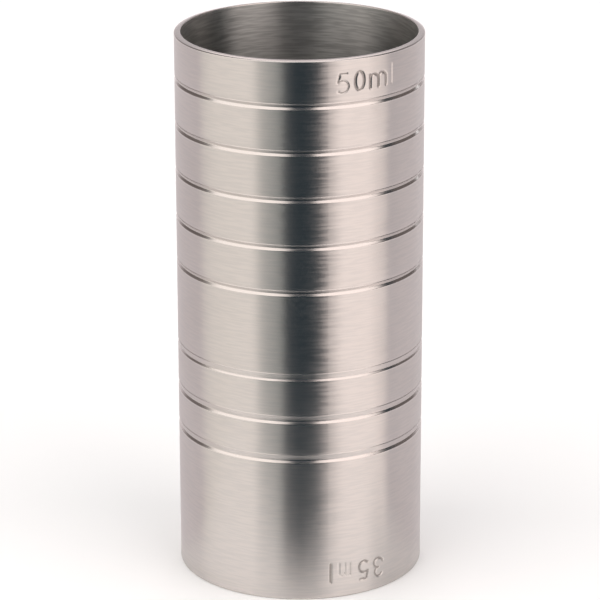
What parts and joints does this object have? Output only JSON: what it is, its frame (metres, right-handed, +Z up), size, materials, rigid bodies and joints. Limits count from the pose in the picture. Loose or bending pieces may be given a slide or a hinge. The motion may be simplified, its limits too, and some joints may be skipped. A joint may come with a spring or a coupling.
{
  "type": "double-ended bar measure",
  "caption": "Straight stainless steel thimble measure, a deep cup above and a shallower one below, with turned grip grooves and a floor across the bore.",
  "frame": {"origin": "centre of the foot, on the surface that the measure stands on", "axes": "+Z up along the tube to the 50 ml cup's rim; the engraved marks are on the side that faces -Y and +X"},
  "size_m": [0.0382, 0.0382, 0.0857],
  "materials": {
    "brushed_steel": "stainless steel, brushed round the tube",
    "pressed_steel": "stainless sheet, satin",
    "hard_solder": "silver solder bead, polished"
  },
  "bodies": {
    "root": {"measure_tube": "brushed_steel", "floor_disc": "pressed_steel", "upper_solder_fillet": "hard_solder", "lower_solder_fillet": "hard_solder"}
  },
  "joints": []
}
